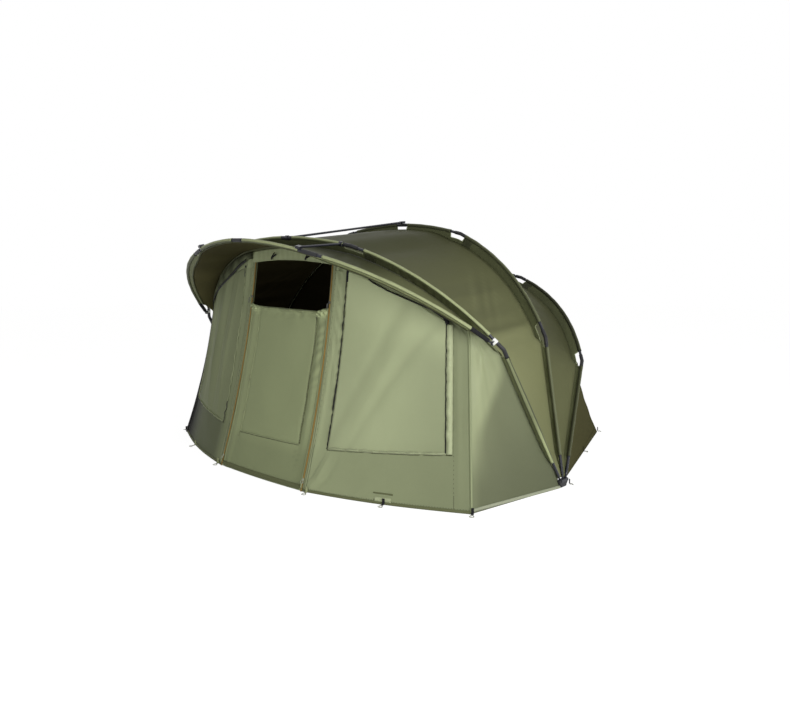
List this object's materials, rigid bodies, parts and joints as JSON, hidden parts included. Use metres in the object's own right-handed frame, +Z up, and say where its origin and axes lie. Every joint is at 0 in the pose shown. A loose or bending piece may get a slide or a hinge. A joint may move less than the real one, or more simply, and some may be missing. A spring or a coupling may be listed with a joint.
{
  "type": "bivvy tent",
  "caption": "Dome-fronted bivvy tent with folding pole ribs, a hood over the front, a drop-down door panel and covered side windows.",
  "frame": {"origin": "centre of the footprint's bounding box, on the ground", "axes": "+X to the right-hand side seen from in front of the door, -Y the way the door faces, +Z up"},
  "size_m": [3.134, 2.9046, 1.6713],
  "materials": {
    "cloth": "coated polyester, light olive, slight sheen",
    "roof_cloth": "coated polyester, dark olive",
    "pole": "anodised near black",
    "plastic": "moulded, black",
    "pale_clip": "moulded, pale",
    "webbing": "woven hem tape, pale olive",
    "zip": "ochre, low gloss"
  },
  "bodies": {
    "main": {"front_centre_sleeve": "plastic", "front_top_pole": "pole", "front_roof": "roof_cloth", "front_wall": "cloth", "hub_right": "plastic", "hub_pins_right": "pole", "front_leg_right": "pole", "front_elbow_joint_right": "plastic", "front_side_pole_right": "pole", "front_shoulder_joint_right": "plastic", "hood_clip_right": "pale_clip", "side_panel_right": "cloth", "hub_left": "plastic", "hub_pins_left": "pole", "front_leg_left": "pole", "front_elbow_joint_left": "plastic", "front_side_pole_left": "pole", "front_shoulder_joint_left": "plastic", "hood_clip_left": "pale_clip", "side_panel_left": "cloth"},
    "hood": {"hood_cloth": "roof_cloth", "hood_top_pole": "pole", "hood_centre_sleeve": "plastic", "hood_side_pole_right": "pole", "hood_side_pole_left": "pole", "hood_shoulder_joint_right": "plastic", "hood_shoulder_joint_left": "plastic"},
    "centre_rib": {"centre_top_pole": "pole", "centre_centre_sleeve": "plastic", "rear_roof": "roof_cloth", "centre_leg_right": "pole", "centre_elbow_joint_right": "plastic", "centre_side_pole_right": "pole", "centre_shoulder_joint_right": "plastic", "centre_leg_left": "pole", "centre_elbow_joint_left": "plastic", "centre_side_pole_left": "pole", "centre_shoulder_joint_left": "plastic"},
    "rear_rib": {"rear_top_pole": "pole", "rear_wall": "roof_cloth", "rear_hem": "webbing", "rear_leg_right": "pole", "rear_elbow_joint_right": "plastic", "rear_side_pole_right": "pole", "rear_shoulder_joint_right": "plastic", "rear_leg_left": "pole", "rear_elbow_joint_left": "plastic", "rear_side_pole_left": "pole", "rear_shoulder_joint_left": "plastic"},
    "ridge_bar": {"ridge_bar": "pole"},
    "door": {"door": "cloth"},
    "hood_bar_right": {"hood_bar_right": "pole"},
    "window_cover_right": {"window_cover_right": "cloth"},
    "lower_slider_right": {"lower_slider_right": "zip"},
    "upper_slider_right": {"upper_slider_right": "zip"},
    "hood_bar_left": {"hood_bar_left": "pole"},
    "window_cover_left": {"window_cover_left": "cloth"},
    "lower_slider_left": {"lower_slider_left": "zip"},
    "upper_slider_left": {"upper_slider_left": "zip"}
  },
  "joints": [
    {"name": "hood_fold", "type": "hinge", "parent": "main", "child": "hood", "pos_m": [0, -0.73259, 0.95052], "axis": [-1, 0, 0], "range_deg": [0, 19], "deforming": ["hood_cloth"]},
    {"name": "centre_rib_fold", "type": "hinge", "parent": "main", "child": "centre_rib", "pos_m": [0, -0.14763, 0.045], "axis": [1, 0, 0], "range_deg": [0, 36.8], "deforming": ["front_roof", "rear_roof"]},
    {"name": "rear_rib_fold", "type": "hinge", "parent": "main", "child": "rear_rib", "pos_m": [0, -0.11763, 0.045], "axis": [1, 0, 0], "range_deg": [0, 67.1], "deforming": ["rear_wall", "rear_hem"]},
    {"name": "ridge_bar_fold", "type": "hinge", "parent": "main", "child": "ridge_bar", "pos_m": [0, -1.04783, 1.54618], "axis": [1, 0, 0], "range_deg": [0, 73.6]},
    {"name": "door_drop", "type": "hinge", "parent": "main", "child": "door", "pos_m": [0, -1.33888, 0.004], "axis": [1, 0, 0], "range_deg": [0, 100]},
    {"name": "hood_bar_right_fold", "type": "hinge", "parent": "main", "child": "hood_bar_right", "pos_m": [0.48436, -1.02616, 1.5088], "axis": [-0.9839, -0.0898, 0.1548], "range_deg": [0, 85.5]},
    {"name": "window_cover_right_drop", "type": "hinge", "parent": "main", "child": "window_cover_right", "pos_m": [0.934, -1.1144, 0.28261], "axis": [0.932, 0.3624, 0], "range_deg": [0, 110]},
    {"name": "lower_slider_right_pull", "type": "slide", "parent": "main", "child": "lower_slider_right", "axis": [-0.0194, 0.218, 0.9758], "range_m": [0, 0.95]},
    {"name": "upper_slider_right_pull", "type": "slide", "parent": "main", "child": "upper_slider_right", "axis": [-0.0194, 0.218, 0.9758], "range_m": [0, 0.2]},
    {"name": "hood_bar_left_fold", "type": "hinge", "parent": "main", "child": "hood_bar_left", "pos_m": [-0.48436, -1.02616, 1.5088], "axis": [-0.9839, 0.0898, -0.1548], "range_deg": [0, 85.5]},
    {"name": "window_cover_left_drop", "type": "hinge", "parent": "main", "child": "window_cover_left", "pos_m": [-0.934, -1.1144, 0.28261], "axis": [0.932, -0.3624, 0], "range_deg": [0, 110]},
    {"name": "lower_slider_left_pull", "type": "slide", "parent": "main", "child": "lower_slider_left", "axis": [0.0194, 0.218, 0.9758], "range_m": [0, 0.95]},
    {"name": "upper_slider_left_pull", "type": "slide", "parent": "main", "child": "upper_slider_left", "axis": [0.0194, 0.218, 0.9758], "range_m": [0, 0.2]}
  ],
  "couplings": [
    {"joint": "rear_rib_fold", "follows": "centre_rib_fold", "ratio": 1.8232},
    {"joint": "ridge_bar_fold", "follows": "centre_rib_fold", "ratio": 1.9999},
    {"joint": "hood_bar_right_fold", "follows": "hood_fold", "ratio": 4.4999},
    {"joint": "hood_bar_left_fold", "follows": "hood_fold", "ratio": 4.4999}
  ]
}
